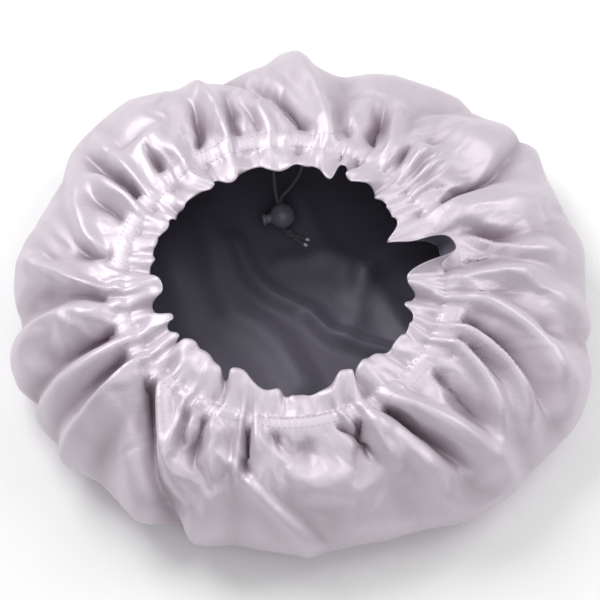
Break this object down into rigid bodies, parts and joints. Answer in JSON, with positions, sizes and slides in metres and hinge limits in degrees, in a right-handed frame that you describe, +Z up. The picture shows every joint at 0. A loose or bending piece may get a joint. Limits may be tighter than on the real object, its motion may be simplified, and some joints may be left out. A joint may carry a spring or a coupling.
{
  "type": "satin bonnet",
  "caption": "Two-layer satin bonnet lying on its crown, gathered on a drawcord with a ruffled opening and a ball cord lock.",
  "frame": {"origin": "on the resting plane, under the middle of the bonnet's outline seen from above", "axes": "+Z up out of the gathered opening, +Y towards the side where the cord ends come out, +X to the right seen from the front"},
  "size_m": [0.3628, 0.3624, 0.0916],
  "materials": {
    "shell_satin": "silvery lilac grey satin, soft sheen",
    "lining_satin": "charcoal satin with a violet tint, low sheen",
    "black_cord": "black braided round cord, matt",
    "white_tip": "white sealed cord ends",
    "black_plastic": "black moulded plastic, satin"
  },
  "bodies": {
    "bonnet": {"outer_shell": "shell_satin", "outer_ruffle": "shell_satin", "lining": "lining_satin", "drawcord_ring": "black_cord", "cord_left": "black_cord", "cord_right": "black_cord", "cord_knot": "black_cord", "cord_tip_left": "white_tip", "cord_tip_right": "white_tip", "toggle_ball": "black_plastic"},
    "button": {"toggle_button": "black_plastic"}
  },
  "joints": [
    {"name": "button_press", "type": "slide", "parent": "bonnet", "child": "button", "axis": [0.9747, 0.1999, 0.1], "range_m": [0, 0.003], "stiffness_N_per_m": 600, "springref_m": -0.002}
  ]
}
